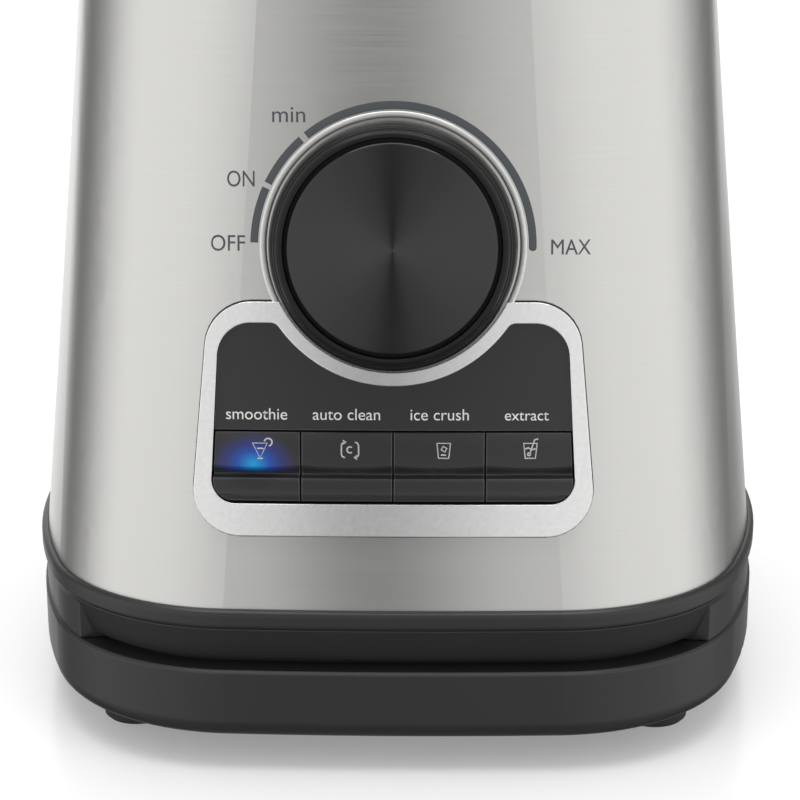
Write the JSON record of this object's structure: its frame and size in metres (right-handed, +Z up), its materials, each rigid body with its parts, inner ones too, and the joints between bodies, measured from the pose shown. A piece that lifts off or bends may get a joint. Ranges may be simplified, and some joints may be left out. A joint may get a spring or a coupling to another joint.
{
  "type": "countertop blender",
  "caption": "Countertop blender: tapered brushed motor base with a large speed knob and lit program keys, clear square jug with handle, lid and measuring cap.",
  "frame": {"origin": "on the drive axis, in the plane the feet stand on", "axes": "+Z up along the drive axis, -Y towards the front panel, +X towards the jug's handle"},
  "size_m": [0.219, 0.207, 0.4593],
  "materials": {
    "brushed_shell": "horizontal brushed grain",
    "satin_bezel": "satin",
    "dark_body": "fine texture",
    "panel_dark": "semi gloss",
    "knob_ring": "polished black",
    "knob_face": "black anodised, spun",
    "rubber": "matte",
    "clear_jug": "clear",
    "bright_steel": "polished",
    "plated_metal": "cast, satin",
    "iron_stack": "laminated",
    "copper": "enamelled wire",
    "carbon": "graphite",
    "inner_plastic": "moulded",
    "board": "laminate",
    "component": "moulded",
    "light_guide": "clear moulding",
    "led": "lit blue"
  },
  "bodies": {
    "base": {"base_pan": "dark_body", "base_screws": "bright_steel", "brush_holders": "inner_plastic", "capacitors": "component", "carbon_brushes": "carbon", "field_coils": "copper", "heat_sink": "plated_metal", "inlet_pins": "bright_steel", "jug_pad": "rubber", "light_guides": "light_guide", "lower_bearing": "bright_steel", "lower_bracket": "plated_metal", "lower_housing": "dark_body", "motor_bolts": "bright_steel", "motor_carrier": "inner_plastic", "motor_mounts": "rubber", "panel_bezel": "satin_bezel", "panel_plate": "panel_dark", "power_board": "board", "power_inlet": "inner_plastic", "reed_switch": "component", "rubber_feet": "rubber", "shaft_seal": "rubber", "speed_encoder": "plated_metal", "stator_core": "iron_stack", "status_leds": "led", "steel_shell": "brushed_shell", "switch_board": "board", "tact_switches": "component", "top_deck": "dark_body", "trim_ring": "dark_body", "upper_bearing": "bright_steel", "upper_bracket": "plated_metal", "vent_grille": "dark_body"},
    "knob": {"knob_body": "knob_ring", "knob_disc": "knob_face", "knob_shaft": "bright_steel"},
    "smoothie_key_body": {"smoothie_key": "panel_dark"},
    "clean_key_body": {"clean_key": "panel_dark"},
    "ice_key_body": {"ice_key": "panel_dark"},
    "extract_key_body": {"extract_key": "panel_dark"},
    "rotor": {"motor_shaft": "bright_steel", "armature_core": "iron_stack", "armature_windings": "copper", "commutator": "copper", "cooling_fan": "inner_plastic", "drive_coupling": "inner_plastic"},
    "jug": {"jug": "clear_jug", "jug_collar": "dark_body", "jug_magnet": "iron_stack", "jug_handle": "dark_body", "blade_hub": "plated_metal", "hub_nut": "inner_plastic"},
    "cutter": {"blade_shaft": "bright_steel", "driven_coupling": "inner_plastic", "blades": "bright_steel", "blade_nut": "bright_steel"},
    "lid": {"lid": "dark_body", "lid_seal": "rubber"},
    "cap": {"measuring_cap": "clear_jug"}
  },
  "joints": [
    {"name": "knob_turn", "type": "hinge", "parent": "base", "child": "knob", "pos_m": [0, -0.08665, 0.13291], "axis": [0, 0.989, -0.1478], "range_deg": [0, 180]},
    {"name": "smoothie_key_press", "type": "slide", "parent": "base", "child": "smoothie_key_body", "axis": [0, 0.989, -0.1478], "range_m": [0, 0.0015], "stiffness_N_per_m": 300, "springref_m": -0.0004},
    {"name": "clean_key_press", "type": "slide", "parent": "base", "child": "clean_key_body", "axis": [0, 0.989, -0.1478], "range_m": [0, 0.0015], "stiffness_N_per_m": 300, "springref_m": -0.0004},
    {"name": "ice_key_press", "type": "slide", "parent": "base", "child": "ice_key_body", "axis": [0, 0.989, -0.1478], "range_m": [0, 0.0015], "stiffness_N_per_m": 300, "springref_m": -0.0004},
    {"name": "extract_key_press", "type": "slide", "parent": "base", "child": "extract_key_body", "axis": [0, 0.989, -0.1478], "range_m": [0, 0.0015], "stiffness_N_per_m": 300, "springref_m": -0.0004},
    {"name": "rotor_spin", "type": "hinge", "parent": "base", "child": "rotor", "pos_m": [0, 0, 0.1], "axis": [0, 0, 1], "continuous": true},
    {"name": "jug_lift", "type": "slide", "parent": "base", "child": "jug", "axis": [0, 0, 1], "range_m": [0, 0.08]},
    {"name": "blade_spin", "type": "hinge", "parent": "jug", "child": "cutter", "pos_m": [0, 0, 0.26], "axis": [0, 0, 1], "continuous": true},
    {"name": "lid_lift", "type": "slide", "parent": "jug", "child": "lid", "axis": [0, 0, 1], "range_m": [0, 0.05]},
    {"name": "cap_lift", "type": "slide", "parent": "lid", "child": "cap", "axis": [0, 0, 1], "range_m": [0, 0.06]}
  ],
  "couplings": [
    {"joint": "blade_spin", "follows": "rotor_spin", "ratio": 1}
  ]
}
